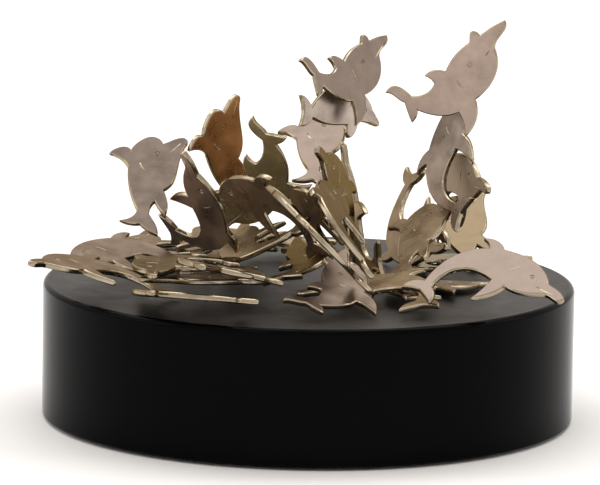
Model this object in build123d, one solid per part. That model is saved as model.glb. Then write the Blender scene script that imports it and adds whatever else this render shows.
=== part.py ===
from build123d import *
import os

# Magnetic desk sculpture: a round base with a ring magnet inside, and stamped steel dolphins that the
# magnet holds on it and on each other. Millimetres. Z is up, and the origin is the centre of the
# face that the base stands on.

# ---- driving dimensions -------------------------------------------------------------------------
BASE_DIAMETER = 95.0
BASE_HEIGHT = 24.5
BASE_EDGE_RADIUS = 1.0
SHELL_WALL = 2.8
SHELL_TOP = 2.5
SHELL_LIFT = 0.6          # the shell's rim stays this far above the table

MAGNET_DIAMETER = 60.0
MAGNET_BORE = 24.0
MAGNET_THICKNESS = 10.0
BACKING_THICKNESS = 2.0
BACKING_BORE = 6.0
SPACER_THICKNESS = 2.0

PAD_THICKNESS = 1.2
COVER_THICKNESS = 2.5
COVER_CLEARANCE = 0.3
PRESS_RING_RADIUS = 25.0
PRESS_RING_WIDTH = 3.0

SCREW_COUNT = 4
SCREW_CIRCLE_RADIUS = 38.5
SCREW_RADIUS = 1.35
SCREW_LENGTH = 11.0
SCREW_HEAD_RADIUS = 2.7
SCREW_HEAD_HEIGHT = 1.5
SCREW_FIT = 0.05
SCREW_SLOT_LENGTH = 2.6
SCREW_SLOT_WIDTH = 0.5
SCREW_SLOT_DEPTH = 0.9
PILOT_EXTRA_DEPTH = 1.0
BOSS_RADIUS = 3.5
POCKET_WALL = 2.0
POCKET_FIT = 0.4
SPACER_FIT = 1.0
PAD_FIT = 0.6
RIB_WIDTH = 1.6

DOLPHIN_THICKNESS = 1.0
DOLPHIN_EDGE_RADIUS = 0.2
EYE_RADIUS = 0.5
EYE_DEPTH = 0.15

# ---- levels and radii that follow ---------------------------------------------------------------
BASE_RADIUS = BASE_DIAMETER / 2
INNER_RADIUS = BASE_RADIUS - SHELL_WALL
CEILING = BASE_HEIGHT - SHELL_TOP
COVER_TOP = PAD_THICKNESS + COVER_THICKNESS
MAGNET_BOTTOM = CEILING - MAGNET_THICKNESS
BACKING_BOTTOM = MAGNET_BOTTOM - BACKING_THICKNESS
SPACER_BOTTOM = BACKING_BOTTOM - SPACER_THICKNESS
POCKET_RADIUS = MAGNET_DIAMETER / 2 + POCKET_FIT
RIB_LENGTH = INNER_RADIUS - POCKET_RADIUS
RIB_CIRCLE_RADIUS = (INNER_RADIUS + POCKET_RADIUS + POCKET_WALL / 2) / 2


# ---- small helpers ------------------------------------------------------------------------------
def disc(radius, bottom, top):
    """A plain cylinder between two levels."""
    return Pos(0, 0, bottom) * Cylinder(radius, top - bottom, align=(Align.CENTER, Align.CENTER, Align.MIN))


def ring(outer, inner, bottom, top):
    """A tube between two levels."""
    return disc(outer, bottom, top) - disc(inner, bottom, top)


def around(shape, count, radius, start=0.0):
    """Copies of a shape on a circle."""
    return [Rot(0, 0, start + 360 / count * i) * Pos(radius, 0, 0) * shape for i in range(count)]


# ---- the base -----------------------------------------------------------------------------------
def base_shell():
    """Moulded cup, open below, with the magnet's pocket wall, screw bosses and ribs under its top."""
    body = disc(BASE_RADIUS, SHELL_LIFT, BASE_HEIGHT)
    body = fillet(body.edges().group_by(Axis.Z)[-1], BASE_EDGE_RADIUS)
    body -= disc(INNER_RADIUS, SHELL_LIFT, CEILING)
    body += ring(POCKET_RADIUS + POCKET_WALL, POCKET_RADIUS, SPACER_BOTTOM, CEILING)
    for boss in around(disc(BOSS_RADIUS, COVER_TOP, CEILING), SCREW_COUNT, SCREW_CIRCLE_RADIUS):
        body += boss
    rib = Pos(0, 0, CEILING) * Box(RIB_LENGTH, RIB_WIDTH, MAGNET_THICKNESS,
                                   align=(Align.CENTER, Align.CENTER, Align.MAX))
    for one in around(rib, SCREW_COUNT, RIB_CIRCLE_RADIUS, 180 / SCREW_COUNT):
        body += one
    pilot = disc(SCREW_RADIUS + SCREW_FIT, COVER_TOP, PAD_THICKNESS + SCREW_LENGTH + PILOT_EXTRA_DEPTH)
    for hole in around(pilot, SCREW_COUNT, SCREW_CIRCLE_RADIUS):
        body -= hole
    return body


def bottom_cover():
    """Disc that closes the shell, with a raised ring that presses the magnet stack up."""
    body = disc(INNER_RADIUS - COVER_CLEARANCE, PAD_THICKNESS, COVER_TOP)
    body += ring(PRESS_RING_RADIUS, PRESS_RING_RADIUS - PRESS_RING_WIDTH, COVER_TOP, SPACER_BOTTOM)
    hole = disc(SCREW_RADIUS + SCREW_FIT, PAD_THICKNESS, COVER_TOP) + countersink(SCREW_FIT)
    for one in around(hole, SCREW_COUNT, SCREW_CIRCLE_RADIUS):
        body -= one
    return body


def countersink(extra):
    """The cone of a countersunk head, larger all round by extra."""
    cone = Cone(SCREW_HEAD_RADIUS + extra, SCREW_RADIUS + extra, SCREW_HEAD_HEIGHT,
                align=(Align.CENTER, Align.CENTER, Align.MIN))
    return Pos(0, 0, PAD_THICKNESS) * cone


def cover_screws():
    """Four countersunk self-tapping screws with cross slots."""
    screw = countersink(0) + disc(SCREW_RADIUS, PAD_THICKNESS, PAD_THICKNESS + SCREW_LENGTH)
    slot = Pos(0, 0, PAD_THICKNESS) * Box(SCREW_SLOT_LENGTH, SCREW_SLOT_WIDTH, SCREW_SLOT_DEPTH,
                                        align=(Align.CENTER, Align.CENTER, Align.MIN))
    screw = screw - slot - Rot(0, 0, 90) * slot
    return Compound(children=around(screw, SCREW_COUNT, SCREW_CIRCLE_RADIUS))


def base_parts():
    return {
        "base_shell": base_shell(),
        "ring_magnet": ring(MAGNET_DIAMETER / 2, MAGNET_BORE / 2, MAGNET_BOTTOM, CEILING),
        "steel_backing_plate": ring(MAGNET_DIAMETER / 2, BACKING_BORE / 2, BACKING_BOTTOM, MAGNET_BOTTOM),
        "foam_spacer": disc(MAGNET_DIAMETER / 2 - SPACER_FIT, SPACER_BOTTOM, BACKING_BOTTOM),
        "bottom_cover": bottom_cover(),
        "cover_screws": cover_screws(),
        "felt_pad": disc(INNER_RADIUS - PAD_FIT, 0, PAD_THICKNESS),
    }


# ---- the dolphins -------------------------------------------------------------------------------
# Each outline is a closed chain of runs in the plate's own plane. A run is one smooth curve through
# its points, and two runs meet in a corner.
LEAPING = [
    [(12.9, -9.2), (12.4, -7.9), (11.2, -6.4), (9.9, -5.2)],                    # beak
    [(9.9, -5.2), (9.3, -2.6), (7.6, 0.2), (4.6, 2.8), (1.4, 4.4)],             # head and shoulders
    [(1.4, 4.4), (0.6, 6.1), (-0.8, 7.3), (-2.6, 7.6)],                         # dorsal fin
    [(-2.6, 7.6), (-1.7, 6.3), (-1.4, 4.9)],
    [(-1.4, 4.9), (-4.7, 4.7), (-7.9, 3.0), (-10.4, 0.2), (-12.0, -2.8)],       # back to the tail
    [(-12.0, -2.8), (-13.4, -2.5), (-14.8, -2.9), (-15.9, -4.2)],               # flukes
    [(-15.9, -4.2), (-14.4, -4.4), (-12.6, -5.2)],
    [(-12.6, -5.2), (-11.6, -6.8), (-10.6, -8.6)],
    [(-10.6, -8.6), (-9.9, -7.0), (-10.0, -5.6), (-10.5, -4.4)],
    [(-10.5, -4.4), (-9.2, -2.0), (-7.3, -0.5), (-5.0, -0.2), (-2.4, -1.3), (-0.3, -3.3)],   # belly
    [(-0.3, -3.3), (-1.5, -5.4), (-3.4, -7.9)],                                 # flipper
    [(-3.4, -7.9), (-1.2, -7.5), (0.9, -6.5), (2.2, -5.2)],
    [(2.2, -5.2), (4.2, -6.7), (6.8, -7.5), (9.2, -7.8)],                       # throat
    [(9.2, -7.8), (10.6, -8.8), (12.0, -9.8), (12.9, -9.2)],                    # lower jaw
]
LEAPING_EYE = (6.9, -3.2)

RISING = [
    [(9.3, 12.2), (7.1, 11.0), (4.8, 9.3)],                                     # beak
    [(4.8, 9.3), (4.0, 10.0), (3.3, 10.0), (3.0, 9.2), (2.9, 8.0)],             # far flipper's tip
    [(2.9, 8.0), (0.6, 6.0), (-1.4, 2.7)],                                      # back of the head
    [(-1.4, 2.7), (-2.6, 2.9), (-4.1, 2.7), (-5.2, 1.8)],                       # dorsal fin
    [(-5.2, 1.8), (-4.1, 1.3), (-3.4, 0.5)],
    [(-3.4, 0.5), (-4.5, -1.0), (-6.1, -1.8), (-7.6, -2.0)],                    # back to the tail
    [(-7.6, -2.0), (-8.9, -0.9), (-10.5, -0.2), (-12.3, -1.5)],                 # flukes
    [(-12.3, -1.5), (-11.1, -1.7), (-10.1, -2.4), (-8.8, -3.1)],
    [(-8.8, -3.1), (-8.4, -4.4), (-7.5, -6.7)],
    [(-7.5, -6.7), (-6.6, -5.4), (-6.5, -4.4)],
    [(-6.5, -4.4), (-3.7, -5.2), (-1.8, -5.3), (1.0, -4.6)],                    # belly
    [(1.0, -4.6), (1.8, -6.4), (2.0, -9.1)],                                    # flipper
    [(2.0, -9.1), (3.4, -7.5), (4.3, -5.0), (4.0, -2.2)],
    [(4.0, -2.2), (6.4, 0.1), (7.9, 3.3), (7.6, 6.9)],                          # throat
    [(7.6, 6.9), (8.3, 9.0), (9.6, 11.4), (9.3, 12.2)],                         # lower jaw
]
RISING_EYE = (3.1, 4.2)

STANDING = [
    [(6.2, 9.2), (5.0, 9.1), (3.7, 8.5), (2.4, 7.9)],                           # beak
    [(2.4, 7.9), (1.8, 8.9), (0.7, 9.5), (-1.0, 9.1), (-3.4, 6.6)],             # head
    [(-3.4, 6.6), (-4.1, 7.2), (-5.6, 7.1), (-7.3, 5.8)],                       # dorsal fin
    [(-7.3, 5.8), (-5.4, 4.8), (-4.0, 2.8)],
    [(-4.0, 2.8), (-4.0, -0.5), (-3.5, -3.8), (-2.5, -7.0)],                    # back to the tail
    [(-2.5, -7.0), (-3.1, -8.2), (-4.4, -9.0), (-5.6, -9.2)],                   # flukes
    [(-5.6, -9.2), (-3.9, -10.0), (-2.0, -10.1)],
    [(-2.0, -10.1), (-0.7, -11.5), (1.1, -12.6)],
    [(1.1, -12.6), (1.0, -10.9), (0.4, -9.4), (-0.3, -8.0)],
    [(-0.3, -8.0), (-0.1, -6.5), (0.7, -5.2)],                                  # belly
    [(0.7, -5.2), (1.5, -6.9), (2.5, -8.2)],                                    # flipper
    [(2.5, -8.2), (3.0, -6.2), (2.8, -4.2), (2.3, -2.6)],
    [(2.3, -2.6), (4.1, -0.7), (4.9, 2.2), (5.6, 5.4), (6.4, 7.4)],             # throat
    [(6.4, 7.4), (6.8, 8.4), (6.2, 9.2)],                                       # lower jaw
]
STANDING_EYE = (1.3, 5.5)

SWIMMING = [
    [(11.2, -2.4), (10.6, -1.6), (9.4, -0.2)],                                  # beak
    [(9.4, -0.2), (8.3, 1.7), (6.0, 3.2), (3.2, 4.0), (0.4, 4.0)],              # head and shoulders
    [(0.4, 4.0), (-0.6, 5.0), (-2.0, 5.6), (-3.6, 5.6)],                        # dorsal fin
    [(-3.6, 5.6), (-2.9, 4.6), (-2.8, 3.5)],
    [(-2.8, 3.5), (-5.0, 2.6), (-6.8, 1.4), (-8.4, 0.0)],                       # back to the tail
    [(-8.4, 0.0), (-9.2, 1.2), (-10.2, 1.9), (-11.4, 2.2)],                     # flukes
    [(-11.4, 2.2), (-10.9, 0.9), (-10.8, -0.9)],
    [(-10.8, -0.9), (-11.3, -2.2), (-12.1, -3.4)],
    [(-12.1, -3.4), (-10.6, -3.3), (-9.3, -2.7), (-8.4, -1.9)],
    [(-8.4, -1.9), (-5.4, -2.8), (-2.0, -3.1), (1.5, -3.0)],                    # belly
    [(1.5, -3.0), (1.3, -4.2), (1.9, -5.4)],                                    # flipper
    [(1.9, -5.4), (3.4, -4.8), (4.4, -3.6), (4.9, -2.5)],
    [(4.9, -2.5), (6.8, -2.5), (8.6, -2.8)],                                    # throat
    [(8.6, -2.8), (9.8, -3.1), (11.0, -3.1), (11.2, -2.4)],                     # lower jaw
]
SWIMMING_EYE = (7.0, -0.3)

# Where each dolphin is: outline, centre, then three turns in degrees. Heading turns it about the
# vertical, lean tips its face from level (0) to upright (90), and roll turns it in its own plane.
DOLPHINS = {
    "dolphin_left_standing": ("standing", (-28.5, -1.0, 42.5), 2, 43, 1),
    "dolphin_left_prop": ("leaping", (-30.5, 17.0, 27.0), 105, -3, 18),
    "dolphin_left_tall": ("standing", (-15.5, 11.0, 45.5), 44, 99, 30),
    "dolphin_left_inner": ("leaping", (-18.0, -9.0, 37.0), 134, 57, 136),
    "dolphin_centre_tail_up": ("rising", (-8.5, 4.0, 42.0), 162, 75, -101),
    "dolphin_centre_left": ("leaping", (-8.5, -14.0, 41.5), 132, 57, 28),
    "dolphin_centre_top": ("rising", (6.5, 13.0, 59.5), 50, 65, -27),
    "dolphin_centre_second": ("swimming", (5.0, 12.0, 54.0), 53, 79, -7),
    "dolphin_centre_third": ("standing", (1.5, 12.0, 47.0), -18, 29, 20),
    "dolphin_centre_upright": ("leaping", (8.5, 4.5, 33.0), -74, 96, 143),
    "dolphin_right_top": ("rising", (25.0, -4.0, 60.5), -13, 93, 1),
    "dolphin_right_second": ("leaping", (24.0, 1.0, 48.0), -56, 73, 111),
    "dolphin_right_diving": ("leaping", (26.0, 1.5, 43.0), -70, 90, 39),
    "dolphin_right_back": ("standing", (28.0, 12.5, 32.0), -17, 33, 32),
    "dolphin_right_tail_up": ("leaping", (17.5, 15.0, 30.0), 115, 116, -146),
    "dolphin_right_leaning": ("standing", (19.5, -4.5, 33.5), -55, 35, 39),
    "dolphin_front_right": ("leaping", (32.0, -32.0, 33.0), -19, 32, 10),
    "dolphin_front_right_under": ("leaping", (19.5, -13.0, 26.0), 145, 3, -79),
    "dolphin_front_centre": ("rising", (5.0, -31.0, 28.5), 33, 21, 2),
    "dolphin_front_curled": ("leaping", (13.5, -23.0, 28.0), 139, 166, 2),
    "dolphin_left_lying": ("leaping", (-33.5, -4.5, 30.0), -140, 161, 29),
    "dolphin_left_rim": ("leaping", (-38.0, -20.5, 30.0), -98, 163, 71),
    "dolphin_left_low": ("leaping", (-25.5, -24.0, 31.5), -64, 177, 67),
    "dolphin_front_left_edge": ("leaping", (-24.0, -38.0, 28.5), -200, 12, -14),
    "dolphin_front_left_flat": ("leaping", (-14.5, -24.0, 29.0), 153, 3, 85),
    "dolphin_front_left_sloping": ("leaping", (-17.5, -35.5, 33.0), -51, 165, 79),
    "dolphin_centre_blade": ("leaping", (-0.5, -33.0, 40.0), 100, 46, 61),
    "dolphin_centre_edge_on": ("leaping", (4.0, -26.0, 42.0), 82, 51, 39),
    "dolphin_centre_inner": ("leaping", (0.0, -5.5, 37.5), -65, 129, 67),
    "dolphin_centre_low": ("leaping", (-11.5, -3.5, 31.0), -79, 30, -155),
    "dolphin_left_back": ("standing", (-15.5, 12.5, 30.0), 110, -10, -46),
    "dolphin_back_right": ("leaping", (33.0, 40.5, 24.0), -88, -46, -45),
    "dolphin_right_foot": ("leaping", (25.5, 18.0, 25.5), -7, -2, 58),
    "dolphin_back_centre": ("leaping", (-9.0, 20.0, 28.0), -30, -5, 95),
    "dolphin_centre_foot": ("rising", (-0.5, -10.0, 30.0), 114, -15, -70),
    "dolphin_back_left": ("leaping", (-20.0, 15.5, 26.0), 265, 2, 31),
    "dolphin_centre_dark": ("leaping", (5.5, -6.5, 41.0), -107, 96, 77),
}
OUTLINES = {
    "leaping": (LEAPING, LEAPING_EYE),
    "rising": (RISING, RISING_EYE),
    "standing": (STANDING, STANDING_EYE),
    "swimming": (SWIMMING, SWIMMING_EYE),
}


def dolphin_plate(runs, eye):
    """Flat stamped plate with softened edges and an eye pressed into both faces."""
    with BuildLine() as chain:
        for run in runs:
            if len(run) == 2:
                Line(*run)
            else:
                Spline(*run)
    face = make_face(chain.edges())
    plate = extrude(face, DOLPHIN_THICKNESS / 2, both=True)
    rims = plate.faces().sort_by(Axis.Z)[0].edges() + plate.faces().sort_by(Axis.Z)[-1].edges()
    plate = chamfer(rims, DOLPHIN_EDGE_RADIUS)
    half = DOLPHIN_THICKNESS / 2
    plate -= Pos(*eye, 0) * ring(EYE_RADIUS, EYE_RADIUS / 2, half - EYE_DEPTH, half)
    plate -= Pos(*eye, 0) * ring(EYE_RADIUS, EYE_RADIUS / 2, -half, EYE_DEPTH - half)
    return plate


def dolphins():
    """Every dolphin in its place, by name."""
    plates = {kind: dolphin_plate(*shape) for kind, shape in OUTLINES.items()}
    placed = {}
    for name, (kind, centre, heading, lean, roll) in DOLPHINS.items():
        turn = Rot(0, 0, heading) * Rot(lean, 0, 0) * Rot(0, 0, roll)
        placed[name] = Pos(*centre) * turn * plates[kind]
    return placed


# ---- write every sub-part -----------------------------------------------------------------------
os.makedirs("parts", exist_ok=True)
for name, shape in {**base_parts(), **dolphins()}.items():
    export_step(shape, f"parts/{name}.step")
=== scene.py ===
import math

import bmesh
import bpy
import numpy as np
from mathutils import Matrix, Vector


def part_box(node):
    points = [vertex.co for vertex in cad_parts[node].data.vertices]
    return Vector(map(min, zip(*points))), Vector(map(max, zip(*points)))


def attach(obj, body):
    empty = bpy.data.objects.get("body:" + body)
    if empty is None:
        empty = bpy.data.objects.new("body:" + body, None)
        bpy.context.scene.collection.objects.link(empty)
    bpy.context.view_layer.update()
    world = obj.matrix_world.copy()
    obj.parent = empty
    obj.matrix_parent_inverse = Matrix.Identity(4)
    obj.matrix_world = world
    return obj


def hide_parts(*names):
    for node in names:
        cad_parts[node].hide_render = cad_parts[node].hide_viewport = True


# Magnetic desk sculpture: a black base with a pile of loose nickel-plated dolphins. Metres, Z up.
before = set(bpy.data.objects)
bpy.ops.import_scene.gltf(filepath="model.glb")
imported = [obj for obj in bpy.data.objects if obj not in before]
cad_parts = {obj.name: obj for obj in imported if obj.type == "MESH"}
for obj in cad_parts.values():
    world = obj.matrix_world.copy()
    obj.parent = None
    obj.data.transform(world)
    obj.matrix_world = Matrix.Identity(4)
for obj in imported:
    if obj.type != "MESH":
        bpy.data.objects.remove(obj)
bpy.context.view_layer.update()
MM = 0.001

# ---- driving values -----------------------------------------------------------------------------
CAMERA_DISTANCE = 0.928
CAMERA_ELEVATION = math.radians(11.0)
CAMERA_TARGET = Vector((-0.0017, 0.0, 0.0314))
CAMERA_ROLL = math.radians(0.9)
CAMERA_LENS = 310.6
CAMERA_SENSOR = 36.0
CAMERA_LIFT = 0.01227             # about half the height of the base, where its elevation starts
CAMERA_CLIP = 20.0

PLATE_BEVEL = 0.09 * MM           # rounds the two edges of each plate's chamfer
BEVEL_STEPS = 2
PLATE_WELD = 0.002 * MM
SHELL_WELD = 0.001 * MM
FLAT_ANGLE = math.radians(0.6)    # faces closer to coplanar than this are joined
SHARP_ANGLE = math.radians(30)
PLATE_SHARP_ANGLE = math.radians(50)
FLAT_COSINE = 0.999               # the flats of a plate are this close to its normal
FACE_COSINE = 0.97                # with rounding included; all that is further off is its edge
EYE_DEPTH = 0.15 * MM
EYE_TOLERANCE = 0.01 * MM
BEAK_REACH = 10.6 * MM            # the beak's tip is within this distance of the eye

RIDGE_HALF_WIDTH = 0.17 * MM
RIDGE_HEIGHT = 0.08 * MM
RIDGE_SINK = 0.03 * MM
RIDGE_POINTS = 7
RIDGE_TAPER = 0.35                # how wide and high a ridge is at its two ends
# The routes of the two marks, from the eye: how far ahead (negative is behind) and how many mm down.
MOUTH = [(0.86, 0.55), (0.66, 0.9), (0.46, 1.15), (0.28, 1.25)]   # ahead as a share of eye to beak
GILL = [(-3.4, -0.6), (-3.9, 0.2), (-4.1, 1.1), (-3.9, 2.0)]      # ahead in mm

SHELL_WALL = 2.8 * MM
SHELL_TOP = 2.5 * MM
SHELL_EDGE_RADIUS = 1.0 * MM
RIM_CHAMFER = 0.2 * MM
EDGE_STEPS = 8
TOP_RINGS = (0.75, 0.5, 0.25, 0.0)      # where the top face is divided, as shares of its radius
CEILING_RINGS = (0.0, 0.5)
TURN_STEPS = 288

FLOOR_SIZE = 6.0
WORLD_COLOR = (0.86, 0.79, 0.73)
FINE_BUMP_DEPTH = 0.05 * MM
WAVE_BUMP_DEPTH = 0.6 * MM
PATCHES_PER_GRAIN = 6             # the colour patches are this much coarser than the grain
WAVES_PER_GRAIN = 14              # and the broad waves of the surface this much
NOISE_LOW, NOISE_HIGH = 0.3, 0.7  # the part of the noise's range that is spread over a property
NOISE_ROUGHNESS = 0.6
LEAST_ROUGHNESS = 0.02
PATCH_SHADE = 0.86                # how dark the darker patches of a colour are
NICKEL_SHADE = 0.64


# ---- materials ----------------------------------------------------------------------------------
def darker(color, share):
    return [c * share for c in color]


def material(name, color, metallic, roughness, spread=0.08, grain=900.0, bump=0.08, wave=0.0,
             specular=0.5, tint=None, sheen=0.0, grazing=(1.0, 1.0, 1.0)):
    """Principled material with noise in its roughness and colour, a fine bump and a broad one.

    Its colour runs from tint to color. On a metal, grazing tints what it reflects edge on.
    """
    mat = bpy.data.materials.new(name)
    mat.use_nodes = True
    nodes, links = mat.node_tree.nodes, mat.node_tree.links
    shader = nodes["Principled BSDF"]
    shader.inputs["Metallic"].default_value = metallic
    shader.inputs["Specular IOR Level"].default_value = specular
    shader.inputs["Specular Tint"].default_value = (*grazing, 1)
    shader.inputs["Sheen Weight"].default_value = sheen
    place = nodes.new("ShaderNodeTexCoord")

    def noise(size, detail):
        n = nodes.new("ShaderNodeTexNoise")
        n.inputs["Scale"].default_value = size
        n.inputs["Detail"].default_value = detail
        n.inputs["Roughness"].default_value = NOISE_ROUGHNESS
        links.new(place.outputs["Object"], n.inputs["Vector"])
        return n

    patches = noise(grain / PATCHES_PER_GRAIN, 4)
    to_rough = nodes.new("ShaderNodeMapRange")
    to_rough.inputs["From Min"].default_value = NOISE_LOW
    to_rough.inputs["From Max"].default_value = NOISE_HIGH
    to_rough.inputs["To Min"].default_value = max(roughness - spread, LEAST_ROUGHNESS)
    to_rough.inputs["To Max"].default_value = roughness + spread
    links.new(patches.outputs["Fac"], to_rough.inputs["Value"])
    links.new(to_rough.outputs["Result"], shader.inputs["Roughness"])

    ramp = nodes.new("ShaderNodeValToRGB")
    ramp.color_ramp.elements[0].position = NOISE_LOW
    ramp.color_ramp.elements[1].position = NOISE_HIGH
    ramp.color_ramp.elements[0].color = (*(tint or darker(color, PATCH_SHADE)), 1)
    ramp.color_ramp.elements[1].color = (*color, 1)
    links.new(patches.outputs["Fac"], ramp.inputs["Fac"])
    links.new(ramp.outputs["Color"], shader.inputs["Base Color"])

    last = None
    bumps = ((grain, 6, bump, FINE_BUMP_DEPTH), (grain / WAVES_PER_GRAIN, 2, wave, WAVE_BUMP_DEPTH))
    for size, detail, strength, depth in bumps:
        if strength <= 0:
            continue
        b = nodes.new("ShaderNodeBump")
        b.inputs["Strength"].default_value = strength
        b.inputs["Distance"].default_value = depth
        links.new(noise(size, detail).outputs["Fac"], b.inputs["Height"])
        if last:
            links.new(last.outputs["Normal"], b.inputs["Normal"])
        last = b
    if last:
        links.new(last.outputs["Normal"], shader.inputs["Normal"])
    return mat


def nickel(name, color, roughness, metallic=1.0):
    """Tumbled nickel plate: cloudy, gently wavy, and yellower where it is seen edge on."""
    return material(name, color, metallic, roughness, spread=0.08, grain=1500, bump=0.16, wave=0.4,
                    tint=darker(color, NICKEL_SHADE), grazing=(0.62, 0.53, 0.40))


# One nickel for all plates. nickel_plain is its colour. The copies after it are painted reflection and
# painted shade: lighter, darker or tinted after what each plate mirrors and how shaded it sits in the pile.
nickel_plain = nickel("nickel_plain", (0.35, 0.29, 0.25), 0.34)
nickel_painted_shade = nickel("nickel_painted_shade", (0.24, 0.195, 0.168), 0.34)
nickel_painted_rose_reflection = nickel("nickel_painted_rose_reflection", (0.48, 0.375, 0.315), 0.34)
nickel_painted_pale_reflection = nickel("nickel_painted_pale_reflection", (0.56, 0.49, 0.44), 0.32)
nickel_painted_warm_reflection = nickel("nickel_painted_warm_reflection", (0.66, 0.33, 0.13), 0.30, 0.9)
nickel_painted_brown_reflection = nickel("nickel_painted_brown_reflection", (0.37, 0.29, 0.20), 0.28, 0.85)
nickel_painted_olive_reflection = nickel("nickel_painted_olive_reflection", (0.34, 0.28, 0.15), 0.26, 0.6)
nickel_painted_dark_shade = nickel("nickel_painted_dark_shade", (0.18, 0.14, 0.09), 0.26)
# Edges and ridges: smoother, like a polished edge, and brighter than the plates as a painted highlight.
nickel_painted_edge_highlight = nickel("nickel_painted_edge_highlight", (0.46, 0.395, 0.29), 0.17)
black_gloss = material("black_gloss", (0.0015, 0.0015, 0.002), 0.0, 0.10, spread=0.03, grain=500,
                       bump=0.02, specular=0.03)
black_satin = material("black_satin", (0.014, 0.013, 0.013), 0.0, 0.5, spread=0.05, grain=1800,
                       bump=0.1, specular=0.4)
ferrite = material("ferrite_grey", (0.06, 0.06, 0.065), 0.0, 0.7, grain=2200, bump=0.4)
zinc = material("zinc_plate", (0.55, 0.56, 0.58), 1.0, 0.38, grain=1200, bump=0.1)
foam = material("foam_black", (0.10, 0.10, 0.10), 0.0, 0.95, grain=2500, bump=0.8)
cover_black = material("cover_black", (0.02, 0.02, 0.02), 0.0, 0.55, grain=2600, bump=0.35)
screw_zinc = material("screw_zinc", (0.52, 0.52, 0.53), 1.0, 0.34, grain=1500, bump=0.08)
felt_black = material("felt_black", (0.03, 0.03, 0.032), 0.0, 0.95, grain=3200, bump=0.9, sheen=0.6,
                      tint=(0.02, 0.02, 0.02))


# ---- the base -----------------------------------------------------------------------------------
def link(name, data):
    """A new object in the scene: a mesh, a lamp or the camera."""
    obj = bpy.data.objects.new(name, data)
    bpy.context.scene.collection.objects.link(obj)
    return obj


def to_object(name, bm):
    """A new object from a bmesh, which is freed."""
    obj = link(name, bpy.data.meshes.new(name))
    bm.to_mesh(obj.data)
    bm.free()
    return obj


def paint(node, mat):
    """A carried-over CAD node takes one material."""
    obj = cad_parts[node]
    obj.data.materials.clear()
    obj.data.materials.append(mat)


def shell_piece():
    """The shell as a turned cup: outer wall, rounded edge, top, and a plain inside."""
    shell_low, shell_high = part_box("base_shell")
    shell_radius = shell_high.x
    bottom, top = shell_low.z, shell_high.z
    inner = shell_radius - SHELL_WALL
    centre = shell_radius - SHELL_EDGE_RADIUS
    profile = [(inner, bottom), (shell_radius - RIM_CHAMFER, bottom), (shell_radius, bottom + RIM_CHAMFER)]
    for k in range(EDGE_STEPS + 1):
        a = math.pi / 2 * k / EDGE_STEPS
        profile.append((centre + SHELL_EDGE_RADIUS * math.cos(a),
                        top - SHELL_EDGE_RADIUS + SHELL_EDGE_RADIUS * math.sin(a)))
    top_row = len(profile) - 1
    middle_row = top_row + len(TOP_RINGS)
    profile += [(centre * f, top) for f in TOP_RINGS]
    profile += [(centre * f, top - SHELL_TOP) for f in CEILING_RINGS]
    profile.append((inner, top - SHELL_TOP))
    bm = bmesh.new()
    rows = []
    for radius, z in profile:
        rows.append([bm.verts.new((radius * math.cos(2 * math.pi * k / TURN_STEPS),
                                   radius * math.sin(2 * math.pi * k / TURN_STEPS), z))
                     for k in range(TURN_STEPS)])
    for i in range(len(rows)):
        if i == middle_row:           # this row and the next are both at the centre
            continue
        a, b = rows[i], rows[(i + 1) % len(rows)]
        for k in range(TURN_STEPS):
            face = bm.faces.new((a[k], a[(k + 1) % TURN_STEPS], b[(k + 1) % TURN_STEPS], b[k]))
            face.material_index = 1 if top_row <= i < middle_row else 0
    bmesh.ops.remove_doubles(bm, verts=bm.verts, dist=SHELL_WELD)
    bmesh.ops.recalc_face_normals(bm, faces=bm.faces)
    obj = to_object("base_shell_body", bm)
    obj.data.materials.append(black_gloss)
    obj.data.materials.append(black_satin)
    for poly in obj.data.polygons:
        poly.use_smooth = True
    obj.data.set_sharp_from_angle(angle=SHARP_ANGLE)
    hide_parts("base_shell")
    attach(obj, "base")


shell_piece()
paint("ring_magnet", ferrite)
paint("steel_backing_plate", zinc)
paint("foam_spacer", foam)
paint("bottom_cover", cover_black)
paint("cover_screws", screw_zinc)
paint("felt_pad", felt_black)


# ---- the dolphins -------------------------------------------------------------------------------
# The plates that take each painted copy of the nickel: painted reflection and painted shade, set by how
# each plate sits in the pile.
PAINTED_TONES = {
    nickel_painted_shade: ("front_right", "centre_third", "left_standing", "centre_top"),
    nickel_painted_rose_reflection: ("right_top", "left_inner"),
    nickel_painted_pale_reflection: ("centre_inner", "front_right_under", "centre_blade", "right_second", "centre_second"),
    nickel_painted_warm_reflection: ("left_tall",),
    nickel_painted_brown_reflection: ("centre_left", "right_tail_up", "right_leaning", "centre_low", "left_back",
                   "centre_upright", "front_curled"),
    nickel_painted_olive_reflection: ("centre_tail_up", "right_foot", "back_centre"),
    nickel_painted_dark_shade: ("right_back", "front_left_flat", "front_left_edge", "left_low", "centre_dark",
                  "centre_edge_on", "centre_foot"),
}


def painted_tone_of(name):
    for painted_tone, names in PAINTED_TONES.items():
        if name.removeprefix("dolphin_") in names:
            return painted_tone
    return nickel_plain


def plate_axes(mesh):
    """Normal, middle point, half thickness and vertices of a plate, from its CAD mesh."""
    polys = mesh.polygons
    normals = np.array([p.normal for p in polys])
    areas = np.array([p.area for p in polys])
    normal = normals[areas.argmax()]
    weight = areas * (np.abs(normals @ normal) > FLAT_COSINE)
    signs = np.sign(normals @ normal)
    normal = (normals * (weight * signs)[:, None]).sum(0)
    normal /= np.linalg.norm(normal)
    points = np.array([v.co for v in mesh.vertices], float)
    height = points @ normal
    middle = (height.max() + height.min()) / 2
    half = (height.max() - height.min()) / 2
    centres = np.array([p.center for p in polys])
    centroid = (centres * weight[:, None]).sum(0) / weight.sum()
    centroid += normal * (middle - centroid @ normal)
    return normal, centroid, half, points


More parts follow.
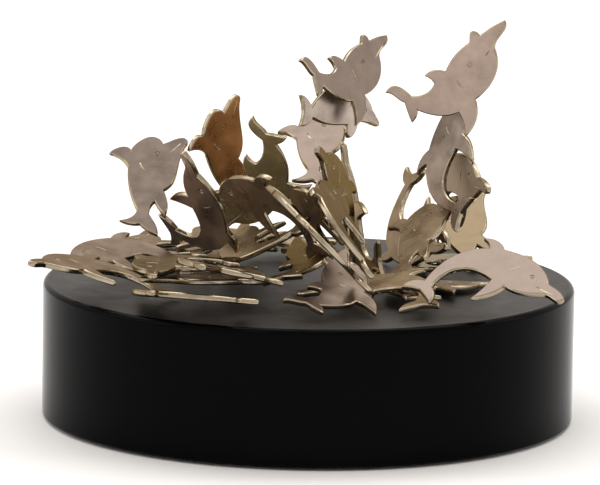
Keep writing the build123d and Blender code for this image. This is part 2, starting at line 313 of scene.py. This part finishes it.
def ridge(bm, route, normal):
    """A low rounded bead that follows a route on a face, sunk a little into it."""
    rings = []
    for i, point in enumerate(route):
        ahead = route[min(i + 1, len(route) - 1)] - route[max(i - 1, 0)]
        side = normal.cross(ahead).normalized()
        end = RIDGE_TAPER if i in (0, len(route) - 1) else 1.0
        ring = []
        for k in range(RIDGE_POINTS):
            a = math.pi * k / (RIDGE_POINTS - 1)
            out = side * math.cos(a) * RIDGE_HALF_WIDTH * end
            up = normal * (math.sin(a) * RIDGE_HEIGHT * end - RIDGE_SINK)
            ring.append(bm.verts.new(point + out + up))
        rings.append(ring)
    # Every face of the bead takes material 1, the edge colour, which paints a highlight along the mark.
    for a, b in zip(rings, rings[1:]):
        for k in range(RIDGE_POINTS):
            after = (k + 1) % RIDGE_POINTS
            face = bm.faces.new((a[k], a[after], b[after], b[k]))
            face.material_index = 1
            face.smooth = True
    for ring in (rings[0], rings[-1]):
        bm.faces.new(ring).material_index = 1


def dolphin_piece(node):
    """One plate: its CAD shape, eyes included, with rounded edges and a mouth and a gill on both faces."""
    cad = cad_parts[node]
    normal, centroid, half, points = plate_axes(cad.data)
    n, c = Vector(normal), Vector(centroid)
    height = points @ normal - centroid @ normal
    floor_of_eye = points[np.abs(np.abs(height) - (half - EYE_DEPTH)) < EYE_TOLERANCE]
    eye = Vector(floor_of_eye.mean(0))
    eye -= n * (eye - c).dot(n)
    near = points[np.linalg.norm(points - np.array(eye), axis=1) < BEAK_REACH]
    beak = Vector(near[np.linalg.norm(near - centroid, axis=1).argmax()])
    beak -= n * (beak - c).dot(n)
    along = (beak - eye).normalized()
    down = n.cross(along)
    if down.dot(c - eye) < 0:
        down = -down

    bm = bmesh.new()
    bm.from_mesh(cad.data)
    bmesh.ops.remove_doubles(bm, verts=bm.verts, dist=PLATE_WELD)
    bmesh.ops.dissolve_limit(bm, angle_limit=FLAT_ANGLE, verts=bm.verts, edges=bm.edges)
    bm.normal_update()
    corners = [e for e in bm.edges if len(e.link_faces) == 2 and e.calc_face_angle(0) > SHARP_ANGLE]
    bmesh.ops.bevel(bm, geom=corners, offset=PLATE_BEVEL, segments=BEVEL_STEPS, profile=0.5, affect="EDGES",
                    clamp_overlap=True)
    bm.normal_update()
    # Faces that turn away from the plate's flats are its edge. They take material 1, the brighter colour
    # that paints a highlight on them.
    for face in bm.faces:
        face.smooth = True
        face.material_index = 0 if abs(face.normal.dot(n)) > FACE_COSINE else 1

    reach = (beak - eye).length
    marks = [[(reach * u, v * MM) for u, v in MOUTH], [(u * MM, v * MM) for u, v in GILL]]
    for side in (1, -1):
        face_point = n * (half * side)
        for mark in marks:
            ridge(bm, [eye + along * a + down * b + face_point for a, b in mark], n * side)
    bmesh.ops.recalc_face_normals(bm, faces=bm.faces)
    piece = to_object(node + "_plate", bm)
    # Material 0 is the plate's painted reflection or shade copy of the nickel. Material 1 is the edge
    # colour, a painted highlight.
    piece.data.materials.append(painted_tone_of(node))
    piece.data.materials.append(nickel_painted_edge_highlight)
    piece.data.set_sharp_from_angle(angle=PLATE_SHARP_ANGLE)
    weighted = piece.modifiers.new("weighted", "WEIGHTED_NORMAL")
    weighted.keep_sharp = True
    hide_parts(node)
    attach(piece, node)


for node_name in sorted(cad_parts):
    if node_name.startswith("dolphin_"):
        dolphin_piece(node_name)


# ---- studio -------------------------------------------------------------------------------------
def studio():
    """Plain white floor that reaches well past the frame on every side."""
    half = FLOOR_SIZE / 2
    bm = bmesh.new()
    square = ((-half, -half), (half, -half), (half, half), (-half, half))
    bm.faces.new([bm.verts.new((x, y, 0.0)) for x, y in square])
    floor = to_object("studio_floor", bm)
    floor.data.materials.append(
        material("studio_white", (0.91, 0.93, 0.95), 0.0, 0.8, grain=20, bump=0.0,
                 tint=(0.90, 0.92, 0.94), specular=0.1))


def softbox(name, place, target, width, height, power, color=(1, 1, 1)):
    lamp = bpy.data.lights.new(name, "AREA")
    lamp.shape = "RECTANGLE"
    lamp.size, lamp.size_y = width, height
    lamp.energy = power
    lamp.color = color
    obj = link(name, lamp)
    obj.location = place
    obj.rotation_euler = (Vector(target) - Vector(place)).to_track_quat("-Z", "Y").to_euler()


studio()
softbox("light_top", (0.0, 0.6, 1.5), (0, 0.5, 0), 2.4, 1.4, 12, (1.0, 0.98, 0.95))
softbox("light_left", (-1.4, -0.2, 0.7), (0, 0, 0.04), 0.9, 0.9, 2.5, (1.0, 0.96, 0.9))
softbox("light_right", (1.4, 0.1, 0.7), (0, 0, 0.04), 0.9, 0.9, 2.5, (1.0, 0.97, 0.93))
softbox("light_back", (0.0, 0.5, 1.3), (0, 1.2, 0.0), 2.5, 0.5, 8)
softbox("light_glint", (-0.35, -0.7, 0.8), (0, 0, 0.04), 0.16, 0.10, 0.3, (1.0, 0.97, 0.92))

world = bpy.data.worlds.new("studio_world")
bpy.context.scene.world = world
world.use_nodes = True
world.node_tree.nodes["Background"].inputs["Color"].default_value = (*WORLD_COLOR, 1)
world.node_tree.nodes["Background"].inputs["Strength"].default_value = 1.0
bpy.context.scene.view_settings.view_transform = "Standard"

# ---- camera -------------------------------------------------------------------------------------
camera_data = bpy.data.cameras.new("camera")
camera_data.lens = CAMERA_LENS
camera_data.sensor_width = CAMERA_SENSOR
camera_data.clip_end = CAMERA_CLIP
camera = link("camera", camera_data)
camera.location = (0.0, -CAMERA_DISTANCE * math.cos(CAMERA_ELEVATION),
                   CAMERA_DISTANCE * math.sin(CAMERA_ELEVATION) + CAMERA_LIFT)
look = (CAMERA_TARGET - camera.location).to_track_quat("-Z", "Y").to_matrix()
camera.rotation_euler = (look @ Matrix.Rotation(CAMERA_ROLL, 3, "Z")).to_euler()
bpy.context.scene.camera = camera
